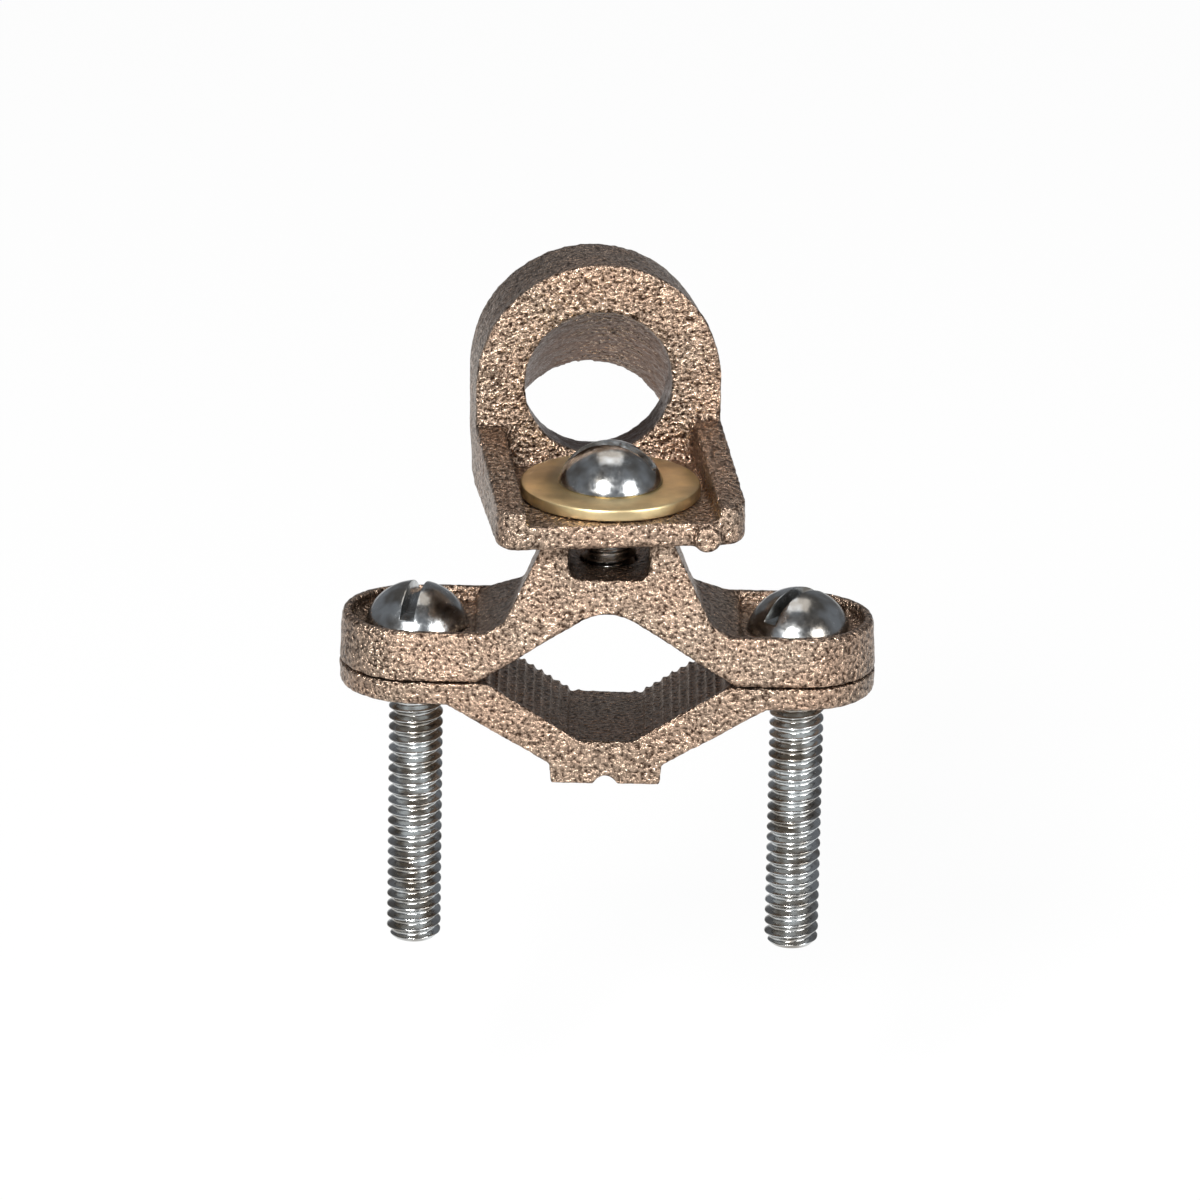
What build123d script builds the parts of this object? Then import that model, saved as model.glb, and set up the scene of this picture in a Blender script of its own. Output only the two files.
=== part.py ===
"""Ground clamp for an earth rod or pipe, with a swivelling cable hub.

Two cast jaws are drawn together by two long screws. A saddle on the upper jaw carries a cast hub, held by
a short screw and a washer, and an earth wire lies in the saddle's channel under the hub.

Millimetres. +Z is up, from the lower jaw to the hub. +Y runs along the gripped rod, and +X from the left
clamp screw to the right one. The origin is midway between the clamp screws, in the upper jaw's flat face.
"""
import os
from math import cos, radians, sin, tan

from build123d import *

# Screws: quarter-inch, 20 threads to the inch, round slotted head
THREAD_R = 3.10             # outside of the thread
TAPPED_R = 3.15             # tapped hole, as a plain bore over the thread
CLEAR_R = 3.6               # clearance hole
HEAD_R = 5.95
HEAD_H = 4.6
SLOT_W = 1.6
SLOT_D = 2.8
CLAMP_SCREW_L = 38.1        # under the head
HUB_SCREW_L = 12.7
TIP_CHAMFER = 0.7
HEAD_EDGE = 0.3             # bevel under the head's rim
SCREW_SPACING = 43.2
HUB_SLOT = 80               # degrees, how each slot stands; at 0 it runs front to back
LEFT_SLOT = -12
RIGHT_SLOT = -42

# Both jaws
EAR_R = 8.8                 # round end of each ear, and half the depth of the jaws
JAW_GAP = 0.05              # between the jaws when they are closed
V_SLOPE = 32.5              # degrees, both gripping faces
CAST_ROUND = 0.6            # rounding that the sand leaves on an edge
DRAFT = 3.0                 # degrees, front and back lean in away from the flat faces

# Upper jaw
RIM_TOP = 5.9
PAN_FLOOR = 4.2
PAN_WALL = 1.5
ARCH_HALF = 14.5            # half the mouth, at the flat face
ARCH_ROUND = 5.8
SADDLE_TOP = 17.0
SADDLE_HALF = 7.2           # half width at the top
SADDLE_FLARE = 11.8         # half width just above the ears
FLARE_RISE = 1.2            # height of that point over the rim
FLARE_FOOT = 15.0           # where the flank runs out on the ear
SADDLE_TAPER = 2.2          # how much narrower each flank stands at the back, low down
TOP_TAPER = 1.6             # and at the top
CHANNEL_HALF = 4.45
CHANNEL_FLOOR = 12.4
CHANNEL_ROUND = 1.3

# Lower jaw
EAR_THICK = 2.8
V_HALF = 13.5
V_FLAT = 2.9                # half the flat at the bottom of the V
LEG_HALF = 17.9             # where the leg leaves the ear
FOOT_HALF = 6.4
FOOT_DRAFT = 0.2            # the foot is narrower at its underside
FOOT_TOP = -9.7
FOOT_BOTTOM = -12.1
NOTCH_R = 1.3
NOTCH_DROP = 0.3            # the notch's centre under the foot
TOOTH_PITCH = 1.15
TOOTH_DEPTH = 0.55
TOOTH_MARGIN = 1.0          # plain edge in front of the teeth
TOOTH_START = 0.9           # pitches from the flat to the first tooth's groove
TOOTH_STOP = 0.8            # plain end at the top of the slope

# Cable hub
HUB_TURN = 8.0              # degrees, how far the hub is swivelled on its screw
PLATE_T = 3.0
PLATE_FRONT = -11.2
HUB_HALF = 14.1             # half width, and the ring's outside radius
RING_FACE = 10.45
RING_DEPTH = 10.2
RING_Z = 29.4
RING_DRAFT = 0.5            # the ring is smaller at its back
BORE_R = 8.35
BORE_LIP = 5.0              # depth of the full bore
ARCH_R = 9.2                # opening in the hub's back
ARCH_TOP = 28.6
ROOF_START = 38.1           # roof's height at the ring's face, just over the bore
WEB_T = 3.3
WEB_TOP_BACK = 24.9
WEB_TOP_FRONT = 21.4
TAIL_END = RING_FACE + BORE_LIP
TAIL_RISE = 23.5            # the back's lower edge
FRONT_CORNER = 2.6          # round corners in plan
INNER_ROUND = 0.5           # between the plate and the webs, clear of the washer
WEB_END_ROUND = 1.8         # between the webs and the ring
PLATE_ROUND = 0.8           # round the plate's underside
GATE_R = 1.6                # stub of the casting's gate, on the plate's front
GATE_X = 9.5
GATE_DROP = 0.5             # how far it hangs below the plate
GATE_OUT = 0.9              # how far it stands out in front
GATE_ROUND = 0.45

# Washer
WASHER_R = 10.15
WASHER_HOLE_R = 3.45
WASHER_T = 1.35
WASHER_EDGE = 0.15          # bevel

PLATE_BOTTOM = SADDLE_TOP
PLATE_TOP = PLATE_BOTTOM + PLATE_T
WASHER_TOP = PLATE_TOP + WASHER_T
RING_BACK = RING_FACE + RING_DEPTH
EAR_X = SCREW_SPACING / 2
slant = 1 / cos(radians(DRAFT))     # length down a drafted face for each unit of height


def ear_pair(half_depth):
    """Outline of both ears and the bar between them."""
    SlotCenterToCenter(SCREW_SPACING, 2 * half_depth)


def drafted_face(y, z, up):
    """Plane of a jaw's front or back, through depth y and height z. It leans in as it goes up, or down."""
    lean = -up * tan(radians(DRAFT)) * y / abs(y)
    return Plane(origin=(0, y, z), x_dir=(1, 0, 0), z_dir=(0, -1, lean))


def jaw_section(points):
    """Right half of a jaw's section, closed on the middle and mirrored to the left."""
    Polygon(*points, align=None)
    mirror(about=Plane.YZ)


# ---------------------------------------------------------------- upper jaw
arch_apex = ARCH_HALF * tan(radians(V_SLOPE))

with BuildPart() as upper_jaw:
    with BuildSketch():
        ear_pair(EAR_R)
    extrude(amount=RIM_TOP, taper=DRAFT)
    fillet(upper_jaw.edges().group_by(Axis.Z)[-1], CAST_ROUND)
    # a pan round each screw head
    with BuildSketch(Plane.XY.offset(PAN_FLOOR)):
        ear_pair(EAR_R - PAN_WALL)
    extrude(amount=RIM_TOP, mode=Mode.SUBTRACT)
    # saddle, one block across the middle, narrower at its back
    for y, taper, top_taper in ((-EAR_R, 0, 0), (EAR_R, SADDLE_TAPER, TOP_TAPER)):
        with BuildSketch(drafted_face(y, 0, 1)):
            jaw_section([
                (0, 0), (FLARE_FOOT, 0), (FLARE_FOOT, RIM_TOP - CAST_ROUND),
                (SADDLE_FLARE - taper, RIM_TOP + FLARE_RISE), (SADDLE_HALF - top_taper, slant * SADDLE_TOP),
                (0, slant * SADDLE_TOP)])
    loft()
    # gripping arch
    with BuildSketch(Plane.XZ):
        jaw_section([(0, -1), (ARCH_HALF, -1), (ARCH_HALF, 0), (0, arch_apex)])
        fillet(vertices().group_by(Axis.Y)[-1], ARCH_ROUND)
    extrude(amount=2 * EAR_R, both=True, mode=Mode.SUBTRACT)
    # wire channel under the hub
    with BuildSketch(Plane.XZ):
        with Locations((0, (CHANNEL_FLOOR + SADDLE_TOP + 2) / 2)):
            Rectangle(2 * CHANNEL_HALF, SADDLE_TOP + 2 - CHANNEL_FLOOR)
        fillet(vertices().group_by(Axis.Y)[0], CHANNEL_ROUND)
    extrude(amount=2 * EAR_R, both=True, mode=Mode.SUBTRACT)
    # clearance holes for the clamp screws, and the hub screw's tapped hole
    with BuildSketch():
        with Locations((-EAR_X, 0), (EAR_X, 0)):
            Circle(CLEAR_R)
        Circle(TAPPED_R)
    extrude(amount=SADDLE_TOP, mode=Mode.SUBTRACT)

upper_jaw.part.label = "upper_jaw"

# ---------------------------------------------------------------- lower jaw
v_bottom = -(V_HALF - V_FLAT) * tan(radians(V_SLOPE)) - JAW_GAP

with BuildPart() as lower_jaw:
    with BuildSketch(Plane(origin=(0, 0, -JAW_GAP), z_dir=(0, 0, -1))):
        ear_pair(EAR_R)
    extrude(amount=EAR_THICK, taper=DRAFT)
    fillet(lower_jaw.edges().group_by(Axis.Z)[0], CAST_ROUND)
    for y in (-EAR_R, EAR_R):
        with BuildSketch(drafted_face(y, -JAW_GAP, -1)):
            jaw_section([
                (0, 0), (LEG_HALF, 0), (LEG_HALF, -EAR_THICK), (FOOT_HALF, FOOT_TOP),
                (FOOT_HALF - FOOT_DRAFT, slant * (FOOT_BOTTOM + JAW_GAP)),
                (0, slant * (FOOT_BOTTOM + JAW_GAP))])
    loft()
    with BuildSketch(Plane.XZ):
        jaw_section([(0, 1), (V_HALF, 1), (V_HALF, -JAW_GAP), (V_FLAT, v_bottom), (0, v_bottom)])
    extrude(amount=2 * EAR_R, both=True, mode=Mode.SUBTRACT)
    # round notch along the foot
    with BuildSketch(Plane.XZ):
        with Locations((0, FOOT_BOTTOM - NOTCH_DROP)):
            Circle(NOTCH_R)
    extrude(amount=2 * EAR_R, both=True, mode=Mode.SUBTRACT)
    # teeth along the rod, cut in both slopes of the V
    leg = (V_HALF - V_FLAT) / cos(radians(V_SLOPE))
    teeth = int((leg - TOOTH_STOP) / TOOTH_PITCH)
    for side in (-1, 1):
        with BuildSketch(Plane.XZ.offset(EAR_R - TOOTH_MARGIN)):
            for i in range(teeth):
                run = (i + TOOTH_START) * TOOTH_PITCH
                x = side * (V_FLAT + run * cos(radians(V_SLOPE)))
                z = v_bottom + run * sin(radians(V_SLOPE))
                with Locations((x, z)):
                    Rectangle(2 * TOOTH_DEPTH, 2 * TOOTH_DEPTH, rotation=45 + side * V_SLOPE)
        extrude(amount=-2 * EAR_R, mode=Mode.SUBTRACT)
    with BuildSketch(Plane.XY.offset(JAW_GAP)):
        with Locations((-EAR_X, 0), (EAR_X, 0)):
            Circle(TAPPED_R)
    extrude(amount=-2 * EAR_THICK, mode=Mode.SUBTRACT)

lower_jaw.part.label = "lower_jaw"

# ---------------------------------------------------------------- cable hub
def arched_outline(half, top, bottom):
    """Half a circle over straight sides, cut off flat."""
    with Locations((0, top - half)):
        Circle(half)
    with Locations((0, (bottom + top - half) / 2)):
        Rectangle(2 * half, top - half - bottom)


# The space under the hub's roof, an arch that sinks towards the back
roof_fall = Vector(0, RING_DEPTH, ARCH_TOP - ROOF_START).normalized()
with BuildPart() as roof_space:
    with BuildSketch(Plane.XZ.offset(-RING_FACE)):
        arched_outline(ARCH_R, ROOF_START, PLATE_BOTTOM - 1)
    extrude(amount=2 * RING_DEPTH, dir=roof_fall, both=True)

# The way through the hub: a full bore in front, then all the space under the roof
with BuildPart() as hub_passage:
    with BuildSketch(Plane.XZ.offset(1 - RING_FACE)):
        with Locations((0, RING_Z)):
            Circle(BORE_R)
    extrude(amount=-BORE_LIP - 1)
    with BuildSketch(Plane.XZ.offset(-TAIL_END)):
        with Locations((0, RING_Z)):
            Rectangle(4 * ARCH_R, 4 * BORE_R)
    extrude(amount=-RING_DEPTH)
    add(roof_space.part, mode=Mode.INTERSECT)

with BuildPart() as cable_hub:
    # ring on straight shoulders, with a slight draft to the back
    with BuildSketch(Plane.XZ.offset(-RING_FACE)):
        arched_outline(HUB_HALF, RING_Z + HUB_HALF, PLATE_BOTTOM - HUB_HALF)
    with BuildSketch(Plane.XZ.offset(-RING_BACK)):
        arched_outline(HUB_HALF - RING_DRAFT, RING_Z + HUB_HALF - RING_DRAFT, PLATE_BOTTOM - HUB_HALF)
    loft()
    # the back's lower corner is cut away, above the plate's end
    with BuildSketch(Plane.YZ):
        Polygon(
            (RING_FACE - 1, PLATE_BOTTOM), (TAIL_END, PLATE_BOTTOM), (RING_BACK + 1, TAIL_RISE),
            (RING_BACK + 1, -HUB_HALF), (RING_FACE - 1, -HUB_HALF), align=None)
    extrude(amount=2 * HUB_HALF, both=True, mode=Mode.SUBTRACT)
    # base plate and a web along each side, their tops sloping to the front
    with BuildSketch(Plane.XY.offset(PLATE_BOTTOM)):
        with Locations((0, (PLATE_FRONT + RING_FACE + 1) / 2)):
            Rectangle(2 * HUB_HALF, RING_FACE + 1 - PLATE_FRONT)
        fillet(vertices().group_by(Axis.Y)[0], FRONT_CORNER)
    extrude(amount=WEB_TOP_BACK - PLATE_BOTTOM)
    with BuildSketch(Plane.YZ):
        Polygon(
            (RING_FACE, WEB_TOP_BACK), (PLATE_FRONT - 1, WEB_TOP_FRONT),
            (PLATE_FRONT - 1, WEB_TOP_BACK + 1), (RING_FACE, WEB_TOP_BACK + 1), align=None)
    extrude(amount=2 * HUB_HALF, both=True, mode=Mode.SUBTRACT)
    with BuildSketch(Plane.XY.offset(PLATE_TOP)):
        with Locations((0, PLATE_FRONT / 2)):
            Rectangle(2 * (HUB_HALF - WEB_T), 2 * RING_FACE - PLATE_FRONT)
    extrude(amount=WEB_TOP_BACK, mode=Mode.SUBTRACT)
    # sand leaves no sharp inner corner
    web_ends = cable_hub.edges().filter_by(Axis.Z).filter_by_position(
        Axis.X, 1 - HUB_HALF, HUB_HALF - 1).filter_by_position(Axis.Y, RING_FACE - 1, RING_FACE + 1)
    fillet(web_ends, WEB_END_ROUND)
    floor_corners = cable_hub.edges().filter_by(Axis.Y).filter_by_position(
        Axis.Z, PLATE_TOP, PLATE_TOP).filter_by_position(Axis.X, 1 - HUB_HALF, HUB_HALF - 1)
    fillet(floor_corners, INNER_ROUND)
    fillet(cable_hub.faces().sort_by(Axis.Z)[0].edges(), PLATE_ROUND)
    add(hub_passage.part, mode=Mode.SUBTRACT)
    with BuildSketch(Plane.XY.offset(PLATE_BOTTOM)):
        Circle(CLEAR_R)
    extrude(amount=PLATE_T, mode=Mode.SUBTRACT)
    # what is left of the casting's gate, low on the front corner
    with BuildSketch(Plane.XZ.offset(GATE_OUT - PLATE_FRONT)):
        with Locations((GATE_X, PLATE_BOTTOM + GATE_R - GATE_DROP)):
            Circle(GATE_R)
    extrude(amount=-2 * GATE_R)
    fillet(cable_hub.edges().filter_by(GeomType.CIRCLE).sort_by(Axis.Y)[0], GATE_ROUND)

cable_hub.part = cable_hub.part.rotate(Axis.Z, HUB_TURN)
cable_hub.part.label = "cable_hub"

# ---------------------------------------------------------------- washer
with BuildPart() as hub_washer:
    with BuildSketch(Plane.XY.offset(PLATE_TOP)):
        Circle(WASHER_R)
        Circle(WASHER_HOLE_R, mode=Mode.SUBTRACT)
    extrude(amount=WASHER_T)
    chamfer(hub_washer.edges().filter_by(GeomType.CIRCLE), WASHER_EDGE)

hub_washer.part.label = "hub_washer"


# ---------------------------------------------------------------- screws
def round_head_screw(x, seat_z, length, slot_angle):
    """A slotted round-head screw on a vertical axis, its head resting at seat_z."""
    with BuildPart(mode=Mode.PRIVATE) as screw:
        with BuildSketch(Plane.XZ):
            with BuildLine():
                Line((x, seat_z + HEAD_H), (x, seat_z - length))
                Polyline(
                    (x, seat_z - length), (x + THREAD_R - TIP_CHAMFER, seat_z - length),
                    (x + THREAD_R, seat_z - length + TIP_CHAMFER), (x + THREAD_R, seat_z),
                    (x + HEAD_R - HEAD_EDGE, seat_z), (x + HEAD_R, seat_z + HEAD_EDGE))
                TangentArc(
                    (x + HEAD_R, seat_z + HEAD_EDGE), (x, seat_z + HEAD_H), tangent=(-0.05, 1))
            make_face()
        revolve(axis=Axis((x, 0, 0), (0, 0, 1)))
        with BuildSketch(Plane.XY.offset(seat_z + HEAD_H - SLOT_D)):
            with Locations((x, 0)):
                Rectangle(SLOT_W, 4 * HEAD_R, rotation=slot_angle)
        extrude(amount=HEAD_H, mode=Mode.SUBTRACT)
    return screw.part


screws = {
    "hub_screw": round_head_screw(0, WASHER_TOP, HUB_SCREW_L, HUB_SLOT),
    "clamp_screw_left": round_head_screw(-EAR_X, PAN_FLOOR, CLAMP_SCREW_L, LEFT_SLOT),
    "clamp_screw_right": round_head_screw(EAR_X, PAN_FLOOR, CLAMP_SCREW_L, RIGHT_SLOT),
}
for name, screw in screws.items():
    screw.label = name

# ---------------------------------------------------------------- write
os.makedirs("parts", exist_ok=True)
pieces = [upper_jaw.part, lower_jaw.part, cable_hub.part, hub_washer.part, *screws.values()]
for piece in pieces:
    export_step(piece, f"parts/{piece.label}.step")
    print(piece.label, "volume", round(piece.volume, 1), "mm3")
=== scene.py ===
# %% [markdown]
# # An earth rod clamp in cast bronze
#
# The clamp has two sand-cast jaws, a cast cable hub, a brass washer and three plated screws. The packed
# model holds every piece at its real size, so this lesson only gives them their surfaces: the soft edges
# and grit of a sand casting, the turned head and rolled thread of a screw, and the lamps that show them.

# %% Load the frame
import math

import bpy
from mathutils import Matrix, Vector


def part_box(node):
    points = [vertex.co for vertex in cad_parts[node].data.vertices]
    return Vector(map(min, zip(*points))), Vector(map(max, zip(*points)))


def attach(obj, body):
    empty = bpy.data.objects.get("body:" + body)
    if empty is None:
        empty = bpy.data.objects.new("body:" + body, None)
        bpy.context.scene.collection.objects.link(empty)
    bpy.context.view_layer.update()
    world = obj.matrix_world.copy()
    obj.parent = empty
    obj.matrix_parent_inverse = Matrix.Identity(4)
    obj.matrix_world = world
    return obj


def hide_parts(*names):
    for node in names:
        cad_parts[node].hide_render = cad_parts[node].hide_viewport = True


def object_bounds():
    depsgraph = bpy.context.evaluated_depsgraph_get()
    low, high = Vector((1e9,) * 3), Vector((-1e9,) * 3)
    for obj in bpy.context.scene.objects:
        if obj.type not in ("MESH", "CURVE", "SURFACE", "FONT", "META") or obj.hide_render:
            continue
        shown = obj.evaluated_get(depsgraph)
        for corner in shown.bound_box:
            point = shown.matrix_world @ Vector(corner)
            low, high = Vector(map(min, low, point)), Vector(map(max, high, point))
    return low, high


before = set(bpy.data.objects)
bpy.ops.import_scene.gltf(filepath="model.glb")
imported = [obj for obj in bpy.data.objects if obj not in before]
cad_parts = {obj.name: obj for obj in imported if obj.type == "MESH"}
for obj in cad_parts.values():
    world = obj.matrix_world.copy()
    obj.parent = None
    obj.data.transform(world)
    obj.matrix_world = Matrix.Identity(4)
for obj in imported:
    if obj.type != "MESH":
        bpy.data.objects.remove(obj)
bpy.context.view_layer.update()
MM = 0.001
print("frame nodes:", sorted(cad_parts))

# %% [markdown]
# ## Small helpers
#
# Operators act on whatever is selected, and loading leaves the frame selected. So each step starts by
# selecting one object alone. The clamp's sizes are in millimetres, because a maker thinks of a screw that
# way, and MM turns them into metres. The studio's sizes are in metres.


# %% Select one object, and apply its modifiers
def select_only(piece):
    """Make piece the only selected object, and the active one."""
    bpy.ops.object.select_all(action="DESELECT")
    piece.select_set(True)
    bpy.context.view_layer.objects.active = piece


def modify(piece, kind, **settings):
    """Add a modifier to piece, set it up and apply it."""
    select_only(piece)
    modifier = piece.modifiers.new(kind.lower(), kind)
    for name, value in settings.items():
        setattr(modifier, name, value)
    bpy.ops.object.modifier_apply(modifier=modifier.name)


# %% [markdown]
# ## Colours and nodes
#
# Colours are easiest to pick as the hex values of a paint chart, and Blender works in linear light. One
# function turns the first into the second. Another adds a node to a material with its settings and links,
# so that each recipe below reads as a list of what the surface is made of.


# %% Colour and node helpers
def colour(hex_value):
    """Turn an sRGB hex value, such as "b08d57", into linear RGBA."""
    channels = [int(hex_value[i:i + 2], 16) / 255 for i in (0, 2, 4)]
    linear = [c / 12.92 if c <= 0.04045 else ((c + 0.055) / 1.055) ** 2.4 for c in channels]
    return (*linear, 1.0)


def add_node(tree, kind, inputs=None, **settings):
    """Add a node, set its properties, and set or link its inputs."""
    node = tree.nodes.new(kind)
    for name, value in settings.items():
        setattr(node, name, value)
    for name, value in (inputs or {}).items():
        if isinstance(value, bpy.types.NodeSocket):
            tree.links.new(value, node.inputs[name])
        else:
            node.inputs[name].default_value = value
    return node


def new_material(name):
    """Start a material with only its shader and output, and return it with its tree and shader."""
    material = bpy.data.materials.new(name)
    material.use_nodes = True
    tree = material.node_tree
    shader = tree.nodes["Principled BSDF"]
    return material, tree, shader


def per_metre(size_mm):
    """Scale of a pattern whose features are size_mm across."""
    return 1 / (size_mm * MM)


# %% [markdown]
# ## Cast bronze
#
# Bronze poured into sand takes the print of every grain. Each little facet that faces the lamp glints, and
# the
# pits between them stay dark. So one noise, about as fine as moulding sand, drives three things at once:
# the colour goes from brown pits to pale crests, the crests are glossier than the pits, and the bump raises
# them.
# That colour's range is partly the bronze's own grain and partly painted: painted shade in the pits and
# painted glints on the crests, beside the real glints from the gloss and the bump. A wider noise tints broad
# patches redder or greyer, from the way the melt cooled.
#
# The hole through a casting is shaped by a core instead of the mould, and comes out smoother. The same recipe
# makes both skins, and only the colours and the depth of the relief differ. The passage's darker colours are
# painted shade inside the bore.


# %% Cast bronze material
MIXED_COLOUR = 2            # place of a mix node's colour result among its outputs


def cast_bronze(name, pit, crest, depth):
    """Cast bronze with brown pits, tan crests and glints, partly painted: shade in the pits, glints on the
    crests. The relief is depth millimetres deep.
    """
    material, tree, shader = new_material(name)
    place = add_node(tree, "ShaderNodeTexCoord").outputs["Object"]
    grit = add_node(tree, "ShaderNodeTexNoise", {
        "Vector": place, "Scale": per_metre(0.45), "Detail": 3.0, "Roughness": 0.6})
    pits = add_node(tree, "ShaderNodeTexNoise", {
        "Vector": place, "Scale": per_metre(0.9), "Detail": 2.0, "Roughness": 0.5})
    patches = add_node(tree, "ShaderNodeTexNoise", {
        "Vector": place, "Scale": per_metre(7.0), "Detail": 2.0})
    # The grain's ramp is partly painted: the dark pit colour paints shade, and the pale crest colour paints
    # glints.
    grain_shade_and_glint_colour = add_node(tree, "ShaderNodeValToRGB", {"Fac": grit.outputs["Fac"]})
    grain_shade_and_glint_colour.color_ramp.elements[0].position = 0.36
    grain_shade_and_glint_colour.color_ramp.elements[0].color = colour(pit)
    grain_shade_and_glint_colour.color_ramp.elements[1].position = 0.64
    grain_shade_and_glint_colour.color_ramp.elements[1].color = colour(crest)
    patch_colour = add_node(tree, "ShaderNodeValToRGB", {"Fac": patches.outputs["Fac"]})
    patch_colour.color_ramp.elements[0].position = 0.35
    patch_colour.color_ramp.elements[0].color = colour("f0d8c4")
    patch_colour.color_ramp.elements[1].position = 0.65
    patch_colour.color_ramp.elements[1].color = colour("d8cdbf")
    tinted = add_node(tree, "ShaderNodeMix", {
        "Factor": 0.6, "A": grain_shade_and_glint_colour.outputs["Color"], "B": patch_colour.outputs["Color"]},
        data_type="RGBA", blend_type="MULTIPLY")
    tree.links.new(tinted.outputs[MIXED_COLOUR], shader.inputs["Base Color"])
    heights = add_node(tree, "ShaderNodeMath", {
        0: grit.outputs["Fac"], 1: pits.outputs["Fac"]}, operation="ADD")
    bump = add_node(tree, "ShaderNodeBump", {
        "Height": heights.outputs["Value"], "Strength": 1.0, "Distance": depth * MM})
    tree.links.new(bump.outputs["Normal"], shader.inputs["Normal"])
    gloss = add_node(tree, "ShaderNodeMapRange", {
        "Value": grit.outputs["Fac"], "From Min": 0.35, "From Max": 0.65, "To Min": 0.42, "To Max": 0.2})
    tree.links.new(gloss.outputs["Result"], shader.inputs["Roughness"])
    shader.inputs["Metallic"].default_value = 1.0
    return material


# The pale crest colour paints glints and the dark pit colour paints shade, beside the bronze's own brown.
BRONZE = cast_bronze("sand_cast_bronze", "3f322a", "c6b3a3", 0.32)
# The cored skin's dark colours are painted shade inside the bore.
SHADED_CORED = cast_bronze("shaded_cored_bronze", "5a473b", "6c574a", 0.05)
print("materials:", BRONZE.name, SHADED_CORED.name)

# %% [markdown]
# ## The three castings
#
# A pattern-maker's edges are never sharp, and the sand wears them further. The castings start from copies
# of the frame's own solids. A voxel remesh gives each copy an even skin of small faces, and a few rounds of
# smoothing take the edges down. Two displacements follow, a gentle unevenness and then the grit. They lie
# mostly below the surface, so a casting doesn't outgrow its solid. The lower jaw is smoothed least, or its
# teeth would go.


# %% Make the castings
UNEVENNESS = (2.5, 0.16)    # width and depth of each displacement, in millimetres
GRIT = (0.7, 0.12)
ZERO_LEVEL = 0.75           # share of the texture's range that lies below the surface


def casting(node, voxel, softening):
    """A copy of one cast node with soft edges and a sandy skin, in place of the node."""
    piece = bpy.data.objects.new(node + "_casting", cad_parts[node].data.copy())
    bpy.context.collection.objects.link(piece)
    select_only(piece)
    bpy.ops.object.mode_set(mode="EDIT")
    bpy.ops.mesh.select_all(action="SELECT")
    bpy.ops.mesh.remove_doubles(threshold=0.001 * MM)
    bpy.ops.object.mode_set(mode="OBJECT")
    modify(piece, "REMESH", mode="VOXEL", voxel_size=voxel * MM)
    modify(piece, "SMOOTH", factor=0.5, iterations=softening)
    for size, depth in (UNEVENNESS, GRIT):
        sand = bpy.data.textures.new(f"sand_{node}_{size}", "CLOUDS")
        sand.noise_scale = size * MM
        modify(
            piece, "DISPLACE", texture=sand, texture_coords="LOCAL", mid_level=ZERO_LEVEL,
            strength=depth * MM)
    bpy.ops.object.shade_smooth()
    piece.data.materials.clear()
    piece.data.materials.append(BRONZE)
    piece.data.materials.append(SHADED_CORED)
    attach(piece, node)
    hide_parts(node)
    print(piece.name, "faces:", len(piece.data.polygons))
    return piece


casting("upper_jaw", 0.26, 8)
casting("lower_jaw", 0.24, 3)
hub = casting("cable_hub", 0.27, 7)

# %% [markdown]
# ## The cored passage
#
# The hub stands turned on its screw, so each face's centre is first turned back. The passage is then easy to
# describe: it starts a little behind the ring's face, it stays within the core's radius of the bore's axis,
# and its walls don't look along the axis as the ring's two faces do.

# %% Give the passage its smoother skin, darkened as painted shade
HUB_TURN = math.radians(8)
RING_Z, RING_FACE = 29.4, 10.45
CORE_START = RING_FACE + 0.9
CORE_R = 9.5
ALONG_AXIS = 0.7            # a face whose normal leans more than this along Y isn't wall
for face in hub.data.polygons:
    x, y, z = face.center / MM
    across = x * math.cos(HUB_TURN) + y * math.sin(HUB_TURN)
    along = y * math.cos(HUB_TURN) - x * math.sin(HUB_TURN)
    in_core = along > CORE_START and math.hypot(across, z - RING_Z) < CORE_R
    if in_core and abs(face.normal.y) < ALONG_AXIS:
        # These faces get the dark skin, which paints the shade inside the bore.
        face.material_index = 1
print("cored faces:", sum(face.material_index for face in hub.data.polygons))

# %% [markdown]
# ## Turned pieces
#
# A screw and a washer are the same all round, so each is a stack of rings. The helper adds one circle and
# extrudes it ring by ring along a profile of radius and height, as a lathe would, and closes both ends. A
# thread breaks the roundness in one simple way: the radius depends on the height and on the angle together.
# A quarter-inch screw has twenty turns to the inch, so the crest climbs 1.27 mm a turn.

# %% Sizes of the screws
PITCH = 1.27
CREST_R = 3.10
ROOT_R = 2.42
HEAD_R = 5.95
HEAD_H = 4.6
HEAD_EDGE = 0.15            # bevel under the head's rim
SLOT_W = 1.6
SLOT_D = 2.8
SEGMENTS = 48               # corners round a ring


# %% Lathe
def turned(name, rings, segments, x, z):
    """Stack rings of (radius, height) in millimetres on a vertical axis through x and z, in metres."""
    bpy.ops.object.select_all(action="DESELECT")
    bpy.ops.mesh.primitive_circle_add(
        vertices=segments, radius=rings[0][0] * MM, fill_type="NGON", location=(x, 0, z + rings[0][1] * MM))
    piece = bpy.context.object
    piece.name = name
    bpy.ops.object.transform_apply(location=True, rotation=True, scale=True)
    bpy.ops.object.mode_set(mode="EDIT")
    bpy.ops.mesh.select_all(action="SELECT")
    for (r0, z0), (r1, z1) in zip(rings, rings[1:]):
        bpy.ops.mesh.extrude_region_move(TRANSFORM_OT_translate={"value": (0, 0, (z1 - z0) * MM)})
        grow = r1 / r0
        bpy.ops.transform.resize(value=(grow, grow, 1), center_override=(x, 0, z))
    bpy.ops.mesh.select_all(action="SELECT")
    bpy.ops.mesh.normals_make_consistent(inside=False)
    bpy.ops.object.mode_set(mode="OBJECT")
    return piece


# %% [markdown]
# ## Plated steel
#
# Zinc plating on a rolled screw is bright but not a mirror. It carries a fine grain from the pickling bath,
# and a thin film of oil darkens and warms it in patches. The bump is very shallow, so the lamps' reflections
# stay clear on the heads.


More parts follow.
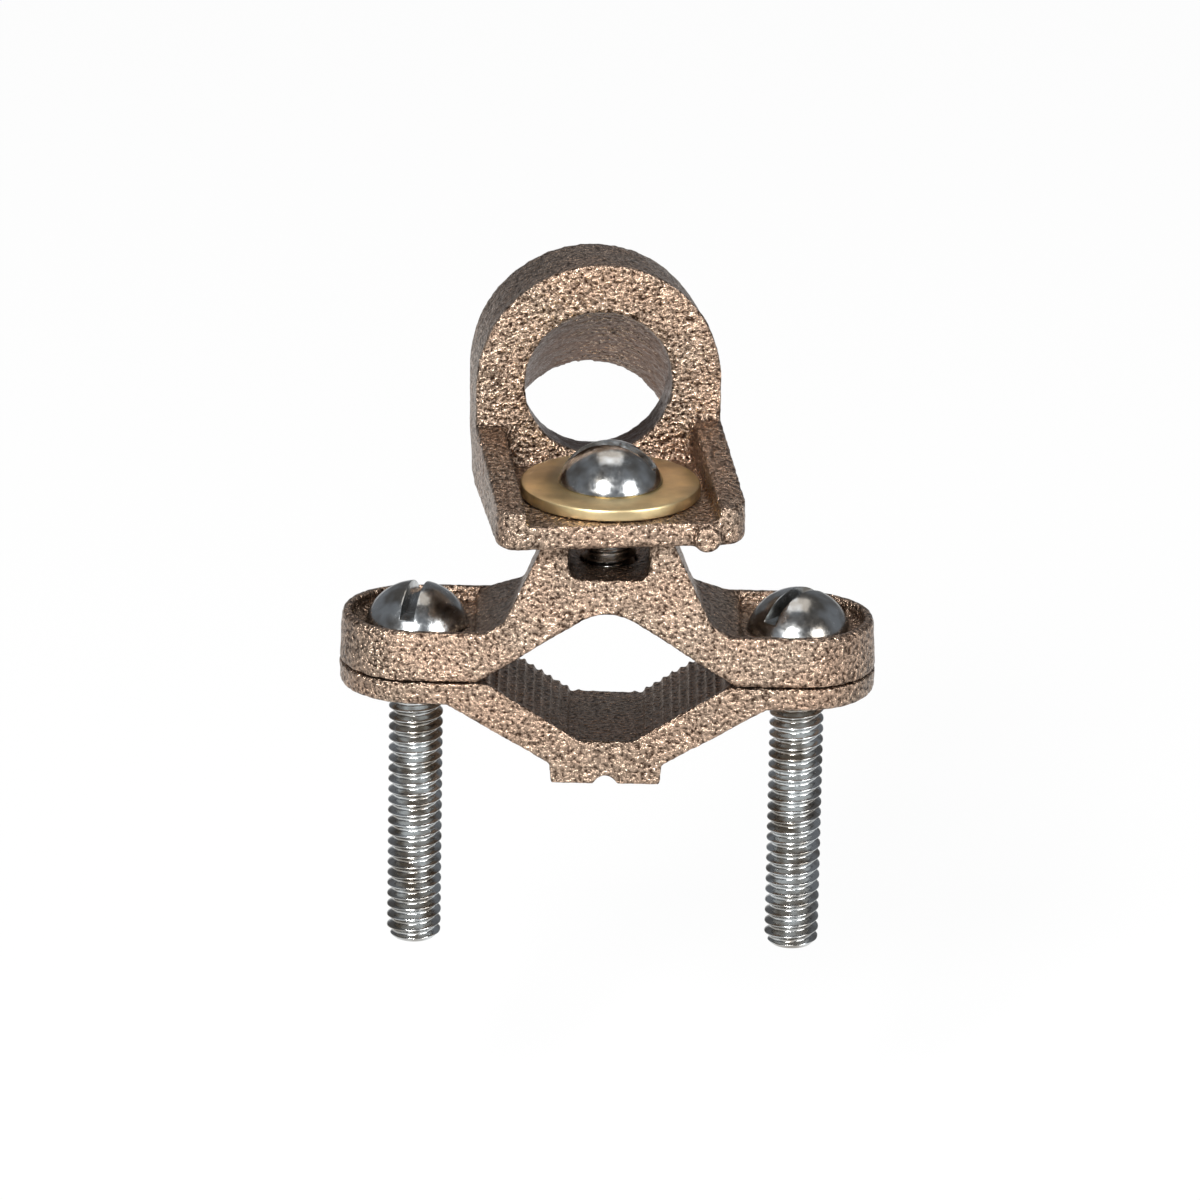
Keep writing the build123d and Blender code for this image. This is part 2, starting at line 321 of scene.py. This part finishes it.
# %% Plated steel material
def plated_steel():
    """Bright zinc-plated steel with a faint grain."""
    material, tree, shader = new_material("zinc_plated_steel")
    place = add_node(tree, "ShaderNodeTexCoord").outputs["Object"]
    grain = add_node(tree, "ShaderNodeTexNoise", {
        "Vector": place, "Scale": per_metre(0.6), "Detail": 4.0, "Roughness": 0.6})
    film = add_node(tree, "ShaderNodeTexNoise", {"Vector": place, "Scale": per_metre(3.0), "Detail": 2.0})
    tone = add_node(tree, "ShaderNodeValToRGB", {"Fac": film.outputs["Fac"]})
    tone.color_ramp.elements[0].position = 0.38
    tone.color_ramp.elements[0].color = colour("827d76")
    tone.color_ramp.elements[1].position = 0.62
    tone.color_ramp.elements[1].color = colour("bcbfc0")
    tree.links.new(tone.outputs["Color"], shader.inputs["Base Color"])
    gloss = add_node(tree, "ShaderNodeMapRange", {
        "Value": grain.outputs["Fac"], "From Min": 0.3, "From Max": 0.7, "To Min": 0.12, "To Max": 0.28})
    tree.links.new(gloss.outputs["Result"], shader.inputs["Roughness"])
    bump = add_node(tree, "ShaderNodeBump", {
        "Height": grain.outputs["Fac"], "Strength": 0.35, "Distance": 0.03 * MM})
    tree.links.new(bump.outputs["Normal"], shader.inputs["Normal"])
    shader.inputs["Metallic"].default_value = 1.0
    return material


STEEL = plated_steel()

# %% [markdown]
# ## The screws
#
# The rings run from the tip to the top of the head. Twelve rings a turn are enough to draw the thread. Each
# corner of the shank is then pushed in or out by its place in the turn, which makes a root, a flank, a crest
# and a flank again. The slot is sawn across the finished head, so it is cut last, by a bar as wide as a saw.


# %% Screw profile
TIP_CHAMFER = 0.7
RINGS_A_TURN = 12
HEAD_RINGS = 14
NECK = 0.5                  # plain stretch under the head
AXIS_R = 0.5                # corners nearer the axis than this close the tip, and stay
FLANK_RISE = 3.0            # radius gained on a flank, in crest heights for each turn
ROOT_SHARE = 0.35           # how far below the root the flank's line starts


def screw_rings(length):
    """Rings of (radius, height) from the tip, at -length, to the crown of the head."""
    count = round(length / PITCH * RINGS_A_TURN)
    shank = [(CREST_R, -length + length * i / count) for i in range(count + 1)]
    ball_r = (HEAD_R ** 2 + HEAD_H ** 2) / (2 * HEAD_H)
    head = [(HEAD_R - HEAD_EDGE, 0.0), (HEAD_R, HEAD_EDGE)]
    for i in range(1, HEAD_RINGS + 1):
        height = HEAD_EDGE + (HEAD_H - HEAD_EDGE) * math.sin(math.radians(90) * i / HEAD_RINGS)
        across = ball_r ** 2 - (height - HEAD_H + ball_r) ** 2
        head.append((max(math.sqrt(max(across, 0)), 0.02), height))
    return shank + head


def thread_radius(turn_part):
    """Radius of the thread at a place in its turn, from 0 to 1: root, flank, crest, flank."""
    rise = min(1, max(0, (0.5 - abs(turn_part - 0.5)) * FLANK_RISE - ROOT_SHARE))
    return ROOT_R + (CREST_R - ROOT_R) * rise


def cut_thread(piece, x, seat, length):
    """Move the shank's rings in and out to leave a right-hand thread."""
    for vertex in piece.data.vertices:
        height = (vertex.co.z - seat) / MM
        across, along = (vertex.co.x - x) / MM, vertex.co.y / MM
        radius = math.hypot(across, along)
        if height > -NECK or radius < AXIS_R:
            continue
        turn_part = (height / PITCH - math.atan2(along, across) / (2 * math.pi)) % 1
        tip_limit = CREST_R - TIP_CHAMFER + (height + length)
        grow = min(thread_radius(turn_part), tip_limit) / radius
        vertex.co.x = x + across * grow * MM
        vertex.co.y = along * grow * MM


# %% Make the screws
SAW_H = 10                  # height of the bar that cuts a slot


def screw(node, seat_z, slot_angle):
    """Turn, thread and slot the screw that stands for one node of the frame."""
    low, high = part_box(node)
    x = (low[0] + high[0]) / 2
    length = (high[2] - low[2]) / MM - (high[2] / MM - seat_z)
    piece = turned(node + "_turned", screw_rings(length), SEGMENTS, x, seat_z * MM)
    cut_thread(piece, x, seat_z * MM, length)
    bpy.ops.object.select_all(action="DESELECT")
    bpy.ops.mesh.primitive_cube_add(size=1, location=(x, 0, (seat_z + HEAD_H - SLOT_D + SAW_H / 2) * MM))
    saw = bpy.context.object
    saw.scale = (SLOT_W * MM, 4 * HEAD_R * MM, SAW_H * MM)
    saw.rotation_euler = (0, 0, math.radians(slot_angle))
    modify(piece, "BOOLEAN", operation="DIFFERENCE", object=saw, solver="EXACT")
    bpy.data.objects.remove(saw)
    modify(piece, "BEVEL", width=0.12 * MM, segments=2, limit_method="ANGLE", angle_limit=math.radians(50))
    select_only(piece)
    bpy.ops.object.shade_smooth_by_angle(angle=math.radians(40))
    piece.data.materials.clear()
    piece.data.materials.append(STEEL)
    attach(piece, node)
    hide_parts(node)
    print(piece.name, "length under the head:", round(length, 2), "faces:", len(piece.data.polygons))


PAN_FLOOR = 4.2
WASHER_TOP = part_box("hub_washer")[1][2] / MM
screw("hub_screw", WASHER_TOP, 80)
screw("clamp_screw_left", PAN_FLOOR, -12)
screw("clamp_screw_right", PAN_FLOOR, -42)

# %% [markdown]
# ## The brass washer
#
# A stamped washer has a soft edge on top and a crisper one below, where the punch came out. Rolled brass that
# has been handled is olive in patches and golden between them. The profile starts at the hole's lower edge
# and goes out, up the rim and back in to the hole's upper edge. The lathe's two caps are then taken off and
# the open rims bridged, which makes the hole's wall.


# %% Brass material
def stamped_brass():
    """Rolled brass, olive in patches and golden between them."""
    material, tree, shader = new_material("stamped_brass")
    place = add_node(tree, "ShaderNodeTexCoord").outputs["Object"]
    film = add_node(tree, "ShaderNodeTexNoise", {"Vector": place, "Scale": per_metre(4.0), "Detail": 5.0})
    grain = add_node(tree, "ShaderNodeTexNoise", {"Vector": place, "Scale": per_metre(0.5), "Detail": 3.0})
    tone = add_node(tree, "ShaderNodeValToRGB", {"Fac": film.outputs["Fac"]})
    tone.color_ramp.elements[0].position = 0.35
    tone.color_ramp.elements[0].color = colour("b3a07a")
    tone.color_ramp.elements[1].position = 0.65
    tone.color_ramp.elements[1].color = colour("e2cd9c")
    tree.links.new(tone.outputs["Color"], shader.inputs["Base Color"])
    bump = add_node(tree, "ShaderNodeBump", {
        "Height": grain.outputs["Fac"], "Strength": 0.4, "Distance": 0.03 * MM})
    tree.links.new(bump.outputs["Normal"], shader.inputs["Normal"])
    shader.inputs["Metallic"].default_value = 1.0
    shader.inputs["Roughness"].default_value = 0.36
    return material


BRASS = stamped_brass()

# %% Make the washer
WASHER_R = (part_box("hub_washer")[1][0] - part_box("hub_washer")[0][0]) / 2 / MM
WASHER_T = (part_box("hub_washer")[1][2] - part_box("hub_washer")[0][2]) / MM
HOLE_R = 3.45
washer = turned("hub_washer_stamped", [
    (HOLE_R, 0.1), (HOLE_R + 0.1, 0.0), (WASHER_R - 0.12, 0.0), (WASHER_R, 0.12),
    (WASHER_R, WASHER_T - 0.3), (WASHER_R - 0.1, WASHER_T - 0.09), (WASHER_R - 0.3, WASHER_T),
    (HOLE_R + 0.1, WASHER_T), (HOLE_R, WASHER_T - 0.1)], 96, 0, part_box("hub_washer")[0][2])
select_only(washer)
bpy.ops.object.mode_set(mode="EDIT")
bpy.ops.mesh.select_all(action="DESELECT")
bpy.ops.mesh.select_mode(type="FACE")
bpy.ops.object.mode_set(mode="OBJECT")
caps = [face for face in washer.data.polygons if len(face.vertices) > 4]
for face in caps:
    face.select = True
bpy.ops.object.mode_set(mode="EDIT")
bpy.ops.mesh.delete(type="ONLY_FACE")
bpy.ops.mesh.select_all(action="DESELECT")
bpy.ops.mesh.select_mode(type="EDGE")
bpy.ops.mesh.select_non_manifold()
bpy.ops.mesh.bridge_edge_loops()
bpy.ops.mesh.select_all(action="SELECT")
bpy.ops.mesh.normals_make_consistent(inside=False)
bpy.ops.object.mode_set(mode="OBJECT")
bpy.ops.object.shade_smooth_by_angle(angle=math.radians(40))
washer.data.materials.clear()
washer.data.materials.append(BRASS)
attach(washer, "hub_washer")
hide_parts("hub_washer")
print("washer radius and thickness:", round(WASHER_R, 2), round(WASHER_T, 2))

# %% [markdown]
# ## The studio
#
# A clamp is held up by the rod that it grips, so the floor lies well below it and catches only a soft
# shadow. The floor looks almost white to the camera, and keeps a trace of that shadow. Less of the white
# shows in the metal's reflections, so that the lamps stand out in them. The lamps stay at a level that
# leaves each colour about as it was written.


# %% Floor and world
SEEN_WHITE = 0.95           # share of plain white for the camera, and in reflections
MIRRORED_WHITE = 0.3
FLOOR_DROP = 0.03           # from the screws' tips to the floor, in metres


def shown_white(tree, lit):
    """Mix what is lit with plain white for the camera, and with less of it in a metal's reflections."""
    rays = add_node(tree, "ShaderNodeLightPath")
    seen = add_node(tree, "ShaderNodeMath", {
        0: rays.outputs["Is Camera Ray"], 1: SEEN_WHITE}, operation="MULTIPLY")
    mirrored = add_node(tree, "ShaderNodeMath", {
        0: rays.outputs["Is Glossy Ray"], 1: MIRRORED_WHITE}, operation="MULTIPLY")
    share = add_node(tree, "ShaderNodeMath", {
        0: seen.outputs["Value"], 1: mirrored.outputs["Value"]}, operation="MAXIMUM")
    white = add_node(tree, "ShaderNodeEmission", {"Color": colour("ffffff"), "Strength": 1.0})
    return add_node(tree, "ShaderNodeMixShader", {0: share.outputs["Value"], 1: lit, 2: white.outputs[0]})


bpy.ops.mesh.primitive_plane_add(size=8, location=(0, 0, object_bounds()[0][2] - FLOOR_DROP))
floor = bpy.context.object
floor.name = "floor"
material, tree, shader = new_material("pale_floor")
shader.inputs["Base Color"].default_value = colour("e8e8e6")
shader.inputs["Roughness"].default_value = 0.9
mixed = shown_white(tree, shader.outputs[0])
tree.links.new(mixed.outputs[0], tree.nodes["Material Output"].inputs["Surface"])
floor.data.materials.append(material)

world = bpy.data.worlds.new("studio")
bpy.context.scene.world = world
world.use_nodes = True
world.node_tree.nodes["Background"].inputs["Color"].default_value = colour("dfe3ea")
world.node_tree.nodes["Background"].inputs["Strength"].default_value = 0.3


# %% Lamps
def soft_lamp(name, place, size, watts):
    """A square lamp that faces the clamp."""
    bpy.ops.object.light_add(type="AREA", location=place)
    lamp = bpy.context.object
    lamp.name = name
    lamp.data.size = size
    lamp.data.energy = watts
    lamp.rotation_euler = (Vector((0, 0, 0.01)) - Vector(place)).to_track_quat("-Z", "Y").to_euler()
    return lamp


soft_lamp("key", (-0.2, -0.6, 0.42), 0.16, 10.0)
soft_lamp("fill", (0.5, -0.45, 0.3), 0.3, 3.5)
soft_lamp("top", (0.0, 0.15, 0.6), 0.4, 1.0)

# %% [markdown]
# ## The camera
#
# The camera stands a metre in front, looks down on the jaws at about twenty degrees, and leans by one degree.
# A long lens keeps the two screws almost parallel.

# %% Camera
DISTANCE = 1.015
ELEVATION = math.radians(19.88)
LEAN = math.radians(1.03)
AIM = Vector((0, 0, 0.005))
bpy.ops.object.camera_add()
camera = bpy.context.object
back = Vector((0, -math.cos(ELEVATION), math.sin(ELEVATION)))
look = (-back).to_track_quat("-Z", "Y").to_matrix().to_4x4()
camera.matrix_world = Matrix.Translation(AIM + back * DISTANCE) @ look @ Matrix.Rotation(LEAN, 4, "Z")
camera.data.sensor_width = 36
camera.data.lens = 269.3
camera.data.shift_x = -0.0066
camera.data.shift_y = 0.0148
camera.data.clip_end = 20
bpy.context.scene.camera = camera
bpy.context.scene.view_settings.view_transform = "Standard"
